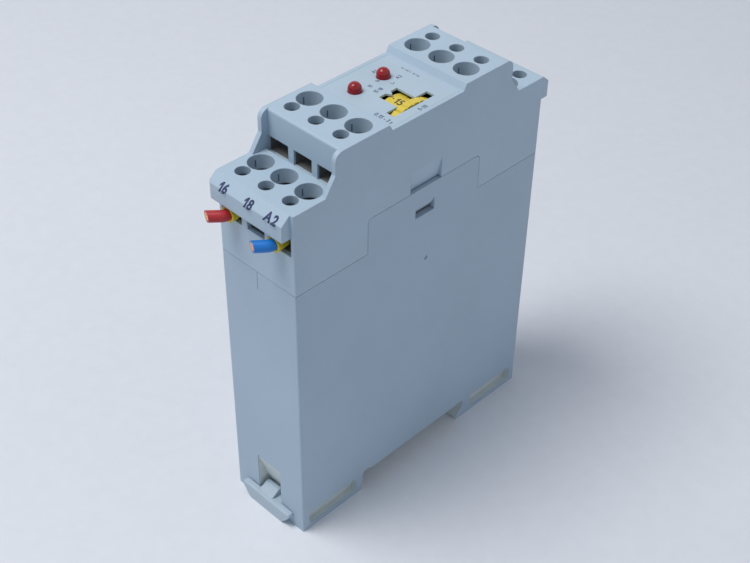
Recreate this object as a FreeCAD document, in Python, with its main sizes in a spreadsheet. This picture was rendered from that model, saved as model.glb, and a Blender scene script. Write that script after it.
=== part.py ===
import FreeCAD, Part
import math
import os
import re
import Sketcher

# A slim relay module for a 35 mm rail. X runs along the rail, Y across it, Z away from it.
# The origin is the middle of the face that seats on the rail. All sizes are in millimetres.

sizes = {
    # moulded base
    "housing_width": 22.5,        # along the rail
    "housing_length": 74.4,       # across the rail
    "seam_height": 65.7,          # top rim of the base
    "seam_gap": 0.08,             # line between base and cover
    "shell_wall": 1.5,
    "floor_wall": 1.5,
    "foot_depth": 5.0,            # feet below the rail seat
    "near_stop": 17.9,            # rail seat to the near foot
    "far_stop": 17.2,             # rail seat to the root of the fixed hook
    "hook_reach": 2.4,            # fixed hook under the rail flange
    "flange_room": 1.1,           # height kept free for the rail flange
    "hook_nose": 4.25,            # where the slanted hook ends
    "hook_round": 0.3,
    "hook_relief": 0.3,           # recess of the rail seat above the fixed hook
    "edge_round": 0.3,            # upright corners of the moulded shells
    "foot_draft": 0.45,
    "relief_width": 1.8,
    "relief_depth": 0.6,
    "groove_depth": 1.5,
    "groove_low": 3.7,
    "groove_high": 0.1,
    "groove_inset": 2.0,
    "groove_length": 15.0,
    "groove_round": 1.0,
    "dimple_radius": 0.5,
    "dimple_depth": 0.25,
    "dimple_height": 55.0,
    # snap tongues on the two large faces
    "tongue_half": 17.0,
    "tongue_top": 74.5,
    "tongue_corner": 1.2,
    "catch_half": 2.9,
    "catch_low": 67.3,
    "catch_high": 70.3,
    "skirt_wall": 1.2,
    "skirt_top": 77.0,
    "fit_gap": 0.1,               # side clearance of snapped or seated pieces
    "wedge_half": 4.7,            # pry notch above each tongue
    "wedge_top": 79.8,
    "wedge_depth": 1.0,
    # latch and its channel
    "latch_window_half": 3.8,
    "latch_window_top": 9.6,
    "latch_ramp": 3.4,
    "shank_half": 6.0,
    "shank_top": 1.2,             # below the rail seat
    "shank_bottom": 3.7,
    "slide_gap": 0.2,
    "channel_half": 4.2,
    "latch_reach": 2.3,
    "apron_half": 5.4,
    "apron_wall": 1.55,
    "ear_half": 7.9,
    "ear_wall": 1.0,
    "ear_round": 0.45,
    "upstand_left": 2.9,
    "upstand_right": 1.4,
    "upstand_top": 0.5,
    "upstand_wall": 2.6,
    # cover
    "step_height": 85.5,          # top of the lower terminal steps
    "block_height": 94.5,         # top of the upper terminal blocks
    "deck_height": 93.0,
    "deck_slope": 0.85,           # slanted step from the deck up to a block
    "block_inset": 4.4,           # upper terminals to the inner edge of their block
    "flank_wall": 1.15,
    "flank_inset": 11.2,          # end of the housing to the raised flanks
    "flank_lean": 2.7,
    "flank_break": 89.5,
    "flank_round": 2.0,
    "riser_inset": 1.7,           # flanks to the wall between the two steps
    "riser_round": 0.5,
    "sill_width": 0.9,
    "lip_reach": 2.2,
    "lip_low": 79.9,
    "lip_break": 83.6,
    "lip_round": 0.6,
    "lip_notch": 0.95,            # lip short of one flank
    # terminals
    "row_inset": 8.0,             # end of the housing to the lower terminals
    "upper_inset": 8.6,           # riser to the upper terminals
    "bore_radius": 2.8,
    "bore_depth": 3.5,
    "chamber_depth": 11.0,
    "chamber_floor": 1.3,
    "probe_radius": 1.65,
    "near_probe": 4.6,
    "far_probe": 5.0,
    "probe_shift": 0.2,
    "entry_low": 10.1,            # below the top of a lower step
    "entry_high": 5.6,
    "upper_entry_low": 9.9,       # below the top of an upper block
    "upper_entry_high": 6.3,
    "middle_entry_half": 2.6,
    "entry_wall": 0.9,            # outer entries to the large faces
    "strip_wall": 0.6,
    "strip_gap": 0.1,             # contact strip to the sides of its clamp
    "strip_depth": 6.6,           # top of the contact strip below the block top
    "pin_width": 2.0,
    "cage_gap": 0.25,             # clamp to the sides of its chamber
    "cage_room": 0.1,             # clamp to the contact strip beside it
    "cage_wall": 0.9,
    "cage_floor": 1.0,
    "cage_height": 5.6,
    "cage_depth": 5.2,            # top of the clamp below the block top
    "screw_radius": 1.5,
    "head_radius": 2.3,
    "head_height": 1.1,
    "slot_width": 0.8,
    "slot_depth": 0.7,
    "thread_gap": 0.05,
    # front plate
    "plate_wall": 0.5,
    "plate_rim": 1.05,            # deck left beside the plate
    "plate_inset": 0.3,           # deck left at its ends
    "plate_gap": 0.02,
    "seat_gap": 0.05,
    "ledge_wall": 1.2,
    "ledge_width": 1.2,
    # setting wheel
    "wheel_offset": 0.9,          # wheel axle towards the near end
    "wheel_radius": 10.2,
    "wheel_proud": 0.4,           # wheel above the deck
    "wheel_width": 1.75,
    "wheel_inset": 4.2,           # edge of the plate to the rim of the wheel
    "drum_gap": 0.2,              # drum below the plate
    "drum_start": 1.2,
    "drum_wall": 1.2,
    "hub_radius": 2.6,
    "knurl_depth": 0.35,
    "knurl_count": 36,
    "axle_radius": 1.5,
    "axle_gap": 0.05,
    "window_gap": 0.2,
    "window_near": 6.75,
    "window_far": 5.1,
    "view_near": 3.6,
    "view_far": 1.65,
    "view_start": 0.6,
    "pointer_width": 1.5,
    "pointer_length": 1.2,
    "dial_body": 6.4,
    "dial_thickness": 5.4,
    # indicator lamps
    "lamp_radius": 1.5,
    "lamp_hole": 1.57,
    "lamp_rim": 1.9,
    "lamp_rim_height": 1.0,
    "lamp_height": 5.25,
    "lamp_top": 95.15,
    "lamp_inset": 5.7,            # edge of the plate to the lamps
    "near_lamp": 5.5,
    "far_lamp": 2.8,
    "lead_wall": 0.5,
    "lead_spread": 1.27,
    # boards
    "board_wall": 1.6,
    "board_room": 0.25,           # upright board to the cover's inner skirt
    "tab_inset": 0.5,             # tab of the upright board short of the blocks
    "board_tab_top": 90.0,
    "board_gap": 0.3,
    "shelf_inset": 4.2,           # upper terminals to the inner edge of their board
    "rib_wall": 1.0,
    "rib_length": 1.5,
    # parts on the upright board
    "relay_inset": 19.2,          # end of the housing to the middle of the relay
    "relay_up": 12.5,
    "relay_length": 28.0,
    "relay_width": 12.5,
    "relay_room": 1.35,           # relay to the large wall it faces
    "relay_round": 0.6,
    "film_inset": 19.2,
    "film_up": 22.0,
    "film_length": 26.0,
    "film_width": 18.0,
    "film_height": 10.0,
    "can_inset": 15.2,
    "can_up": 46.0,
    "can_radius": 4.0,
    "can_height": 12.0,
    "can_spacing": 11.0,
    "chip_inset": 21.2,
    "chip_up": 42.0,
    "chip_length": 19.3,
    "chip_width": 6.4,
    "chip_height": 3.5,
    "chip_pitch": 2.54,
    "disc_across": 2.0,
    "disc_up": 54.0,
    "disc_radius": 5.0,
    "disc_wall": 3.6,
    "stand_off": 0.4,
    # wire stubs
    "wire_radius": 1.27,
    "core_radius": 0.75,
    "left_wire_stray": 0.1,       # left wire off the middle of its terminal
    "wire_room": 0.05,            # right wire's ferrule to the side of its clamp
    "wire_depth": 8.3,            # wire axis below the step top
    "collar_mouth": 1.2,          # collar mouth outside the end face
    "collar_length": 3.4,
    "collar_radius": 1.85,
    "collar_taper": 0.2,
    "collar_wall": 0.2,
    "tube_radius": 1.05,
    "tube_length": 7.0,
    "wire_inset": 1.6,            # insulation inside the end face
    "core_inset": 7.0,            # strands inside the end face
    "bend_start": 0.05,           # start of the bend outside the collar
    "bend_radius": 2.0,
    "left_tip_across": 2.9,
    "right_tip_across": 2.7,
    "tip_out": 4.0,
    "cut_back": 0.75,             # slanted cut before the end of the wire's path
    "cut_slope": 0.36,
}

# What follows from the sizes above.
places = {
    "column_pitch": "((housing_width-shell_wall)/3)",
    "chamber_side": "(column_pitch-shell_wall)",
    "side_entry_inner": "(column_pitch-chamber_side/2)",
    "side_entry_outer": "(housing_width/2-entry_wall)",
    "cage_width": "(chamber_side-2*cage_gap)",
    "cage_length": "(chamber_side-2*seat_gap-2*strip_wall-2*cage_room)",
    "strip_width": "(cage_width-2*cage_wall-2*strip_gap)",
    "lower_row": "(housing_length/2-row_inset)",
    "flank_face": "(housing_length/2-flank_inset)",
    "flank_foot": "(flank_face+flank_lean)",
    "riser_face": "(flank_face-riser_inset)",
    "upper_row": "(riser_face-upper_inset)",
    "block_edge": "(upper_row-block_inset)",
    "deck_half": "(block_edge-deck_slope)",
    "plate_half_width": "(housing_width/2-plate_rim)",
    "plate_half_length": "(deck_half-plate_inset)",
    "wheel_height": "(deck_height+wheel_proud-wheel_radius)",
    "drum_radius": "(wheel_radius-wheel_proud-plate_wall-drum_gap)",
    "lamp_column": "(plate_half_width-lamp_inset)",
    "skirt_face": "(housing_width/2-shell_wall-fit_gap-skirt_wall)",
    "board_face": "(skirt_face-board_room-board_wall)",
    "relay_height": "(board_face+housing_width/2-shell_wall-relay_room)",
    "wheel_start": "(plate_half_width-wheel_inset)",
    "tab_half": "(block_edge-tab_inset)",
    "shelf_inner": "(upper_row-shelf_inset)",
    "tail_width": "(chamber_side-4*seat_gap)",
    "left_wire_shift": "(column_pitch+left_wire_stray)",
    "right_wire_shift": "(column_pitch+wire_room+cage_wall+tube_radius-cage_width/2)",
    "pin_start": "(chamber_side/2)",
    "pin_slot": "(strip_wall+2*seat_gap)",
}

doc = FreeCAD.newDocument("rail_relay")
sheet = doc.addObject("Spreadsheet::Sheet", "Sizes")
for row, (alias, number) in enumerate(sizes.items(), start=1):
    sheet.set("A%d" % row, alias)
    sheet.set("B%d" % row, "%g" % number)
    sheet.setAlias("B%d" % row, alias)
doc.recompute()

COLUMNS = (-1, 0, 1)
NEAR, FAR = -1, 1
SHANK_SIDES = 12                  # plain stand-in for the hidden thread of a clamp screw
CHIP_LEGS = 7                     # on each side
parts = []


# ---- helpers -------------------------------------------------------------------------------

def formula(text):
    """Write a formula of size and place names as an expression on the sheet."""
    def spell(word):
        name = word.group()
        if name in places:
            return formula(places[name])
        return "Sizes." + name if name in sizes else name
    return re.sub(r"[a-z][a-z_]+", spell, str(text))


def measure(text):
    """Work out a formula of size names now, in millimetres."""
    return float(sheet.evalExpression(formula(text)))


def bind(item, slot, text):
    """Tie one property of an object to the sheet."""
    item.setExpression(slot, formula(text))


def check(feature):
    """Stop where a feature has failed."""
    doc.recompute()
    if "Invalid" in feature.State or "Error" in feature.State or feature.Shape.isNull():
        raise ValueError("%s failed: %s" % (feature.Label, feature.State))
    return feature


def newBody(name, x="0", y="0", z="0"):
    """Start a sub-part whose own origin stands at the given place."""
    body = doc.addObject("PartDesign::Body", name)
    body.Label = name
    body.AllowCompound = True
    for axis, place in zip("xyz", (x, y, z)):
        bind(body, ".Placement.Base." + axis, place)
    parts.append(body)
    return body


def newSketch(body, role, offset="0"):
    """Lay a sketch on one of the body's origin planes, moved along its normal."""
    sketch = body.newObject("Sketcher::SketchObject", body.Name + "_sketch")
    plane = [item for item in body.Origin.OriginFeatures if item.Role == role][0]
    sketch.AttachmentSupport = [(plane, "")]
    sketch.MapMode = "FlatFace"
    bind(sketch, ".AttachmentOffset.Base.z", offset)
    doc.recompute()
    return sketch


def pin(sketch, kind, item, point, text):
    """Hold a point of a sketch at a distance from its origin."""
    index = sketch.addConstraint(Sketcher.Constraint(kind, -1, 1, item, point, measure(text)))
    sketch.setExpression("Constraints[%d]" % index, formula(text))


def outline(sketch, corners):
    """Draw a closed outline through corners given as pairs of formulas."""
    spots = [FreeCAD.Vector(measure(across), measure(up), 0) for across, up in corners]
    first = sketch.GeometryCount
    for index, spot in enumerate(spots):
        sketch.addGeometry(Part.LineSegment(spot, spots[(index + 1) % len(spots)]), False)
    for index, (across, up) in enumerate(corners):
        before = first + (index - 1) % len(corners)
        sketch.addConstraint(Sketcher.Constraint("Coincident", before, 2, first + index, 1))
        pin(sketch, "DistanceX", first + index, 1, across)
        pin(sketch, "DistanceY", first + index, 1, up)


def rectangle(sketch, left, right, low, high):
    """Draw a rectangle between two places across and two places up."""
    outline(sketch, [(left, low), (right, low), (right, high), (left, high)])


def polygon(sketch, radius, sides):
    """Draw a regular outline about the origin of a sketch."""
    turns = [2 * math.pi * index / sides for index in range(sides)]
    outline(sketch, [("%.5f*(%s)" % (math.cos(angle), radius), "%.5f*(%s)" % (math.sin(angle), radius))
                     for angle in turns])


def disc(sketch, across, up, radius):
    """Draw a circle."""
    centre = FreeCAD.Vector(measure(across), measure(up), 0)
    circle = Part.Circle(centre, FreeCAD.Vector(0, 0, 1), measure(radius))
    item = sketch.addGeometry(circle, False)
    pin(sketch, "DistanceX", item, 3, across)
    pin(sketch, "DistanceY", item, 3, up)
    index = sketch.addConstraint(Sketcher.Constraint("Radius", item, measure(radius)))
    sketch.setExpression("Constraints[%d]" % index, formula(radius))


def pad(body, sketch, length, back=False, both=False):
    """Raise a sketch along its normal, against it, or half to each side."""
    feature = body.newObject("PartDesign::Pad", body.Name + "_pad")
    feature.Profile = sketch
    bind(feature, "Length", length)
    feature.Reversed = back
    feature.Midplane = both
    return check(feature)


def pocket(body, sketch, depth, along=False, both=False):
    """Cut a sketch against its normal, along it, or half to each side."""
    volume = body.Tip.Shape.Volume
    feature = body.newObject("PartDesign::Pocket", body.Name + "_pocket")
    feature.Profile = sketch
    bind(feature, "Length", depth)
    feature.Reversed = along
    feature.Midplane = both
    check(feature)
    if feature.Shape.Volume > volume - 1e-4:
        raise ValueError("%s cuts nothing" % feature.Label)
    return feature


def turn(body, sketch):
    """Revolve a sketch once about its own upright axis."""
    feature = body.newObject("PartDesign::Revolution", body.Name + "_turn")
    feature.Profile = sketch
    feature.ReferenceAxis = (sketch, ["V_Axis"])
    feature.Angle = 360
    return check(feature)


def edgesAlong(shape, axis, spots):
    """Name the straight edges that run along an axis through the given spots."""
    names = []
    others = [index for index in range(3) if index != "xyz".index(axis)]
    wanted = [[measure(place) for place in spot] for spot in spots]
    for number, edge in enumerate(shape.Edges, start=1):
        ends = [vertex.Point for vertex in edge.Vertexes]
        if len(ends) == 2 and edge.Curve.TypeId == "Part::GeomLine":
            for spot in wanted:
                if all(abs(end[index] - place) < 1e-3
                       for end in ends for index, place in zip(others, spot)):
                    names.append("Edge%d" % number)
    if not names:
        raise ValueError("no edge along %s at %s" % (axis, spots))
    return names


def roundEdges(body, axis, radius, spots):
    """Round the edges that run along an axis through the given spots."""
    base = body.Tip
    feature = body.newObject("PartDesign::Fillet", body.Name + "_round")
    feature.Base = (base, edgesAlong(base.Shape, axis, spots))
    bind(feature, "Radius", radius)
    return check(feature)


def repeatColumns(body, features):
    """Repeat what was made at the first terminal column over all three."""
    pattern = body.newObject("PartDesign::LinearPattern", body.Name + "_columns")
    pattern.Originals = features
    plane = [item for item in body.Origin.OriginFeatures if item.Role == "X_Axis"][0]
    pattern.Direction = (plane, [""])
    bind(pattern, "Length", "2*column_pitch")
    pattern.Occurrences = len(COLUMNS)
    body.Tip = pattern
    return check(pattern)


# ---- base ----------------------------------------------------------------------------------

def makeBaseHousing():
    """Tub with two feet, a fixed rail hook, a latch channel and two snap tongues."""
    body = newBody("base_housing")
    profile = newSketch(body, "YZ_Plane")
    outline(profile, [
        ("-housing_length/2", "-foot_depth"),
        ("-near_stop-foot_draft", "-foot_depth"),
        ("-near_stop", "-flange_room"),
        ("-near_stop", "0"),
        ("-near_stop+relief_depth", "relief_depth"),
        ("-near_stop+relief_depth+relief_width", "relief_depth"),
        ("-near_stop+relief_depth+relief_width", "0"),
        ("far_stop-hook_reach-fit_gap", "0"),
        ("far_stop-hook_reach-fit_gap", "hook_relief"),
        ("far_stop", "hook_relief"),
        ("far_stop", "-flange_room"),
        ("far_stop-hook_reach", "-hook_nose"),
        ("far_stop-hook_reach+hook_round", "-foot_depth"),
        ("housing_length/2", "-foot_depth"),
        ("housing_length/2", "seam_height"),
        ("-housing_length/2", "seam_height"),
    ])
    pad(body, profile, "housing_width", both=True)
    corners = [("%d*housing_width/2" % side, "%d*housing_length/2" % end)
               for side in (-1, 1) for end in (NEAR, FAR)]
    roundEdges(body, "z", "edge_round", corners)

    cavity = newSketch(body, "XY_Plane", "seam_height")
    rectangle(cavity, "-housing_width/2+shell_wall", "housing_width/2-shell_wall",
              "-housing_length/2+shell_wall", "housing_length/2-shell_wall")
    pocket(body, cavity, "seam_height-floor_wall")

    backing = newSketch(body, "YZ_Plane")
    outline(backing, [
        ("-housing_length/2+0.5*shell_wall", "0.5*floor_wall"),
        ("-housing_length/2+shell_wall+latch_ramp", "0.5*floor_wall"),
        ("-housing_length/2+shell_wall+latch_ramp", "floor_wall"),
        ("-housing_length/2+shell_wall", "latch_window_top+shell_wall"),
        ("-housing_length/2+0.5*shell_wall", "latch_window_top+shell_wall"),
    ])
    pad(body, backing, "2*(latch_window_half+shell_wall)", both=True)

    for side in (-1, 1):
        tongue = newSketch(body, "YZ_Plane", "%d*(housing_width/2-shell_wall)" % side)
        rectangle(tongue, "-tongue_half", "tongue_half", "seam_height-shell_wall", "tongue_top")
        pad(body, tongue, "shell_wall", back=side < 0)
    roundEdges(body, "x", "tongue_corner", [("-tongue_half", "tongue_top"),
                                            ("tongue_half", "tongue_top")])
    catch = newSketch(body, "YZ_Plane")
    rectangle(catch, "-catch_half", "catch_half", "catch_low", "catch_high")
    pocket(body, catch, "2*housing_width", both=True)

    for end in (NEAR, FAR):
        ribs = newSketch(body, "XY_Plane", "0.5*floor_wall")
        outer = "%d*(housing_length/2-0.5*shell_wall)" % end
        inner = "%d*(housing_length/2-shell_wall-rib_length)" % end
        rectangle(ribs, "-board_face+fit_gap", "-board_face+fit_gap+rib_wall", outer, inner)
        rectangle(ribs, "-housing_width/2+0.5*shell_wall",
                  "-board_face-board_wall-fit_gap", outer, inner)
        pad(body, ribs, "seam_height-2*shell_wall")

    slot = newSketch(body, "XZ_Plane", "housing_length/2")
    rectangle(slot, "-shank_half-slide_gap", "shank_half+slide_gap",
              "-shank_bottom-slide_gap", "-shank_top+slide_gap")
    pocket(body, slot, "housing_length/2-near_stop+shell_wall")
    channel = newSketch(body, "XZ_Plane", "housing_length/2")
    rectangle(channel, "-channel_half", "channel_half", "-foot_depth-1",
              "-shank_bottom")
    pocket(body, channel, "housing_length/2-near_stop+shell_wall")
    window = newSketch(body, "YZ_Plane")
    outline(window, [
        ("-housing_length/2", "latch_window_top"),
        ("-housing_length/2-1", "latch_window_top"),
        ("-housing_length/2-1", "-shank_top"),
        ("-housing_length/2+latch_ramp", "-shank_top"),
        ("-housing_length/2+latch_ramp", "-shank_top+slide_gap"),
    ])
    pocket(body, window, "2*latch_window_half", both=True)

    for side in (-1, 1):
        grooves = newSketch(body, "YZ_Plane", "%d*(housing_width/2-groove_depth)" % side)
        ends = ["%d*(housing_length/2-groove_inset%s)" % (end, length)
                for end in (NEAR, FAR) for length in ("-groove_length", "")]
        rectangle(grooves, ends[1], ends[0], "-groove_low", "groove_high")
        rectangle(grooves, ends[2], ends[3], "-groove_low", "groove_high")
        pocket(body, grooves, "2*groove_depth", along=side > 0)
    roundEdges(body, "x", "groove_round",
               [(place, level) for place in ends for level in ("-groove_low", "groove_high")])
    dimple = newSketch(body, "YZ_Plane", "housing_width/2")
    disc(dimple, "wheel_offset", "dimple_height", "dimple_radius")
    pocket(body, dimple, "dimple_depth")
    return body


# ---- cover ---------------------------------------------------------------------------------

def makeTopCover():
    """Cover with two terminal steps at each end, screw bores, wire entries and a deck."""
    body = newBody("top_cover")
    profile = newSketch(body, "YZ_Plane")
    half = [
        ("housing_length/2", "seam_height+seam_gap"),
        ("housing_length/2", "step_height"),
        ("flank_foot", "step_height"),
        ("flank_face", "flank_break"),
        ("flank_face", "block_height"),
        ("block_edge", "block_height"),
        ("deck_half", "deck_height"),
    ]
    mirrored = [("-(%s)" % across, up) for across, up in half]
    outline(profile, mirrored + half[::-1])
    pad(body, profile, "housing_width", both=True)
    corners = [("%d*housing_width/2" % side, "%d*housing_length/2" % end)
               for side in (-1, 1) for end in (NEAR, FAR)]
    roundEdges(body, "z", "edge_round", corners)

    between = newSketch(body, "YZ_Plane")
    for end in (NEAR, FAR):
        outline(between, [
            ("%d*(housing_length/2+1)" % end, "step_height"),
            ("%d*(riser_face+sill_width)" % end, "step_height"),
            ("%d*riser_face" % end, "step_height-sill_width"),
            ("%d*riser_face" % end, "block_height+1"),
            ("%d*(housing_length/2+1)" % end, "block_height+1"),
        ])
    pocket(body, between, "housing_width-2*flank_wall", both=True)
    roundEdges(body, "x", "riser_round", [("-riser_face", "block_height"),
                                          ("riser_face", "block_height")])
    roundEdges(body, "x", "flank_round", [("-flank_face", "block_height"),
                                          ("flank_face", "block_height")])

    for end in (NEAR, FAR):
        lip = newSketch(body, "YZ_Plane", "%d*housing_width/2" % end)
        outline(lip, [
            ("%d*(housing_length/2-edge_round)" % end, "step_height"),
            ("%d*housing_length/2" % end, "step_height"),
            ("%d*(housing_length/2+lip_reach)" % end, "lip_break"),
            ("%d*(housing_length/2+lip_reach)" % end, "lip_low"),
            ("%d*(housing_length/2-edge_round)" % end, "lip_low"),
        ])
        pad(body, lip, "housing_width-lip_notch", back=end > 0)
        roundEdges(body, "z", "lip_round",
                   [("%d*housing_width/2" % end, "%d*(housing_length/2+lip_reach)" % end)])

    cavity = newSketch(body, "YZ_Plane")
    half = [
        ("housing_length/2-shell_wall", "seam_height-1"),
        ("housing_length/2-shell_wall", "step_height-chamber_depth-chamber_floor"),
        ("lower_row-chamber_side/2-shell_wall", "step_height-chamber_depth-chamber_floor"),
        ("lower_row-chamber_side/2-shell_wall", "block_height-chamber_depth-chamber_floor"),
        ("upper_row-chamber_side/2-shell_wall", "block_height-chamber_depth-chamber_floor"),
        ("upper_row-chamber_side/2-shell_wall", "deck_height-plate_wall-ledge_wall"),
    ]
    mirrored = [("-(%s)" % across, up) for across, up in half]
    outline(cavity, mirrored + half[::-1])
    pocket(body, cavity, "housing_width-2*shell_wall", both=True)

    recess = newSketch(body, "XY_Plane", "deck_height")
    rectangle(recess, "-plate_half_width-plate_gap", "plate_half_width+plate_gap",
              "-plate_half_length-plate_gap", "plate_half_length+plate_gap")
    pocket(body, recess, "plate_wall")
    opening = newSketch(body, "XY_Plane", "deck_height")
    rectangle(opening, "-plate_half_width+ledge_width", "plate_half_width-ledge_width",
              "-plate_half_length+ledge_width", "plate_half_length-ledge_width")
    pocket(body, opening, "plate_wall+2*ledge_wall")

    for top, row, low, high, outer, entry_outer, reach in (
            ("step_height", "lower_row", "entry_low", "entry_high", "housing_length/2",
             "side_entry_outer", "lip_reach+1"),
            ("block_height", "upper_row", "upper_entry_low", "upper_entry_high", "riser_face",
             "(housing_width/2-flank_wall)", "0")):
        bores = newSketch(body, "XY_Plane", top)
        chambers = newSketch(body, "XY_Plane", top + "-bore_depth")
        pins = newSketch(body, "XY_Plane", top + "-chamber_depth")
        probes = newSketch(body, "XY_Plane", top)
        for end, probe in ((NEAR, "near_probe"), (FAR, "far_probe")):
            for column in COLUMNS:
                across = "%d*column_pitch" % column
                disc(bores, across, "%d*%s" % (end, row), "bore_radius")
                rectangle(chambers, across + "-chamber_side/2", across + "+chamber_side/2",
                          "%d*(%s-chamber_side/2)" % (end, row),
                          "%d*(%s+chamber_side/2)" % (end, row))
                disc(probes, across + "-probe_shift", "%d*(%s+%s)" % (end, row, probe),
                     "probe_radius")
                rectangle(pins, across + "-pin_width/2-seat_gap", across + "+pin_width/2+seat_gap",
                          "%d*(%s-pin_start)" % (end, row),
                          "%d*(%s-pin_start+pin_slot)" % (end, row))
        pocket(body, bores, "bore_depth")
        pocket(body, chambers, "chamber_depth-bore_depth")
        pocket(body, pins, "2*chamber_floor")
        pocket(body, probes, high)
        for end in (NEAR, FAR):
            entries = newSketch(body, "XZ_Plane", "%d*(%s+%s)" % (-end, outer, reach))
            for left, right in (("-" + entry_outer, "-side_entry_inner"),
                                ("-middle_entry_half", "middle_entry_half"),
                                ("side_entry_inner", entry_outer)):
                rectangle(entries, left, right, "%s-%s" % (top, low), "%s-%s" % (top, high))
            pocket(body, entries, "%s+%s-%s-chamber_side/2" % (outer, reach, row), along=end > 0)

    for side in (-1, 1):
        face = "%d*(housing_width/2-shell_wall)" % side
        opening = newSketch(body, "YZ_Plane", face)
        rectangle(opening, "-tongue_half-seam_gap", "tongue_half+seam_gap",
                  "seam_height-1", "tongue_top+seam_gap")
        pocket(body, opening, "2*shell_wall", along=side > 0)
    roundEdges(body, "x", "tongue_corner+seam_gap",
               [("-tongue_half-seam_gap", "tongue_top+seam_gap"),
                ("tongue_half+seam_gap", "tongue_top+seam_gap")])
    skirt = newSketch(body, "XZ_Plane")
    nose = newSketch(body, "XZ_Plane")
    wedge = newSketch(body, "XZ_Plane")
    for side in (-1, 1):
        outline(skirt, [
            ("%d*skirt_face" % side, "seam_height+seam_gap"),
            ("%d*(housing_width/2-shell_wall-fit_gap)" % side, "seam_height+seam_gap"),
            ("%d*(housing_width/2-shell_wall-fit_gap)" % side, "tongue_top+seam_gap"),
            ("%d*(housing_width/2-0.5*shell_wall)" % side, "tongue_top+seam_gap"),
            ("%d*(housing_width/2-0.5*shell_wall)" % side, "skirt_top"),
            ("%d*skirt_face" % side, "skirt_top"),
        ])
        outline(nose, [
            ("%d*(housing_width/2-shell_wall-fit_gap-0.5*skirt_wall)" % side,
             "catch_low+seam_gap"),
            ("%d*(housing_width/2-shell_wall)" % side, "catch_low+seam_gap"),
            ("%d*(housing_width/2-2*fit_gap)" % side, "catch_high-seam_gap-shell_wall/3"),
            ("%d*(housing_width/2-2*fit_gap)" % side, "catch_high-seam_gap"),
            ("%d*(housing_width/2-shell_wall-fit_gap-0.5*skirt_wall)" % side,
             "catch_high-seam_gap"),
        ])
        outline(wedge, [
            ("%d*(housing_width/2-wedge_depth)" % side, "tongue_top"),
            ("%d*(housing_width/2+1)" % side, "tongue_top"),
            ("%d*(housing_width/2+1)" % side, "wedge_top"),
            ("%d*housing_width/2" % side, "wedge_top"),
        ])
    pad(body, skirt, "2*tab_half", both=True)
    pad(body, nose, "2*catch_half-2*seam_gap", both=True)
    pocket(body, wedge, "2*wedge_half", both=True)
    return body


def makeFrontPlate():
    """Thin plate let into the deck, with lamp holes and the window of the setting wheel."""
    body = newBody("front_plate", z="deck_height-plate_wall")
    face = newSketch(body, "XY_Plane")
    rectangle(face, "-plate_half_width", "plate_half_width",
              "-plate_half_length", "plate_half_length")
    pad(body, face, "plate_wall")
    lamps = newSketch(body, "XY_Plane", "plate_wall")
    disc(lamps, "-lamp_column", "-near_lamp", "lamp_hole")
    disc(lamps, "-lamp_column", "far_lamp", "lamp_hole")
    pocket(body, lamps, "2*plate_wall")
    arm = "wheel_start-window_gap"
    window = newSketch(body, "XY_Plane", "plate_wall")
    outline(window, [
        (arm, "-window_near"),
        ("wheel_start+wheel_width+window_gap", "-window_near"),
        ("wheel_start+wheel_width+window_gap", "window_far"),
        (arm, "window_far"),
        (arm, "view_far"),
        ("view_start", "view_far"),
        ("view_start", "-wheel_offset+pointer_width/2"),
        ("view_start+pointer_length", "-wheel_offset"),
        ("view_start", "-wheel_offset-pointer_width/2"),
        ("view_start", "-view_near"),
        (arm, "-view_near"),
    ])
    pocket(body, window, "2*plate_wall")
    return body


# ---- latch ---------------------------------------------------------------------------------

def makeRailLatch():
    """Flat sprung slide: a hook for the rail, a shank in the near foot and a pry handle."""
    body = newBody("rail_latch")
    shank = newSketch(body, "YZ_Plane")
    outline(shank, [
        ("-housing_length/2-fit_gap-apron_wall/2", "-shank_bottom"),
        ("-near_stop-foot_draft", "-shank_bottom"),
        ("-near_stop+latch_reach", "-shank_top-0.4*latch_reach"),
        ("-near_stop+latch_reach", "-shank_top"),
        ("-housing_length/2-fit_gap-apron_wall/2", "-shank_top"),
    ])
    pad(body, shank, "2*shank_half", both=True)
    apron = newSketch(body, "XZ_Plane", "housing_length/2+fit_gap")
    outline(apron, [
        ("-apron_half", "-foot_depth"),
        ("apron_half", "-foot_depth"),
        ("ear_half", "-shank_top+slide_gap-ear_wall"),
        ("ear_half", "-shank_top+slide_gap"),
        ("-ear_half", "-shank_top+slide_gap"),
        ("-ear_half", "-shank_top+slide_gap-ear_wall"),
    ])
    pad(body, apron, "apron_wall")
    roundEdges(body, "y", "ear_round", [("-ear_half", "-shank_top+slide_gap"),
                                        ("ear_half", "-shank_top+slide_gap")])
    roundEdges(body, "x", "ear_round",
               [("-housing_length/2-fit_gap-apron_wall", "-shank_top+slide_gap")])
    upstand = newSketch(body, "YZ_Plane", "-upstand_left")
    outline(upstand, [
        ("-housing_length/2-fit_gap-0.5*apron_wall", "-shank_top-0.5*ear_wall"),
        ("-housing_length/2+fit_gap+upstand_wall", "-shank_top-0.5*ear_wall"),
        ("-housing_length/2+fit_gap+0.8*upstand_wall", "upstand_top"),
        ("-housing_length/2+0.5*upstand_wall", "upstand_top"),
        ("-housing_length/2-fit_gap-0.5*apron_wall", "-shank_top+slide_gap"),
    ])
    pad(body, upstand, "upstand_left+upstand_right")
    roundEdges(body, "x", "ear_round", [("-housing_length/2+0.5*upstand_wall", "upstand_top")])
    return body


# ---- setting wheel -------------------------------------------------------------------------

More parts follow.
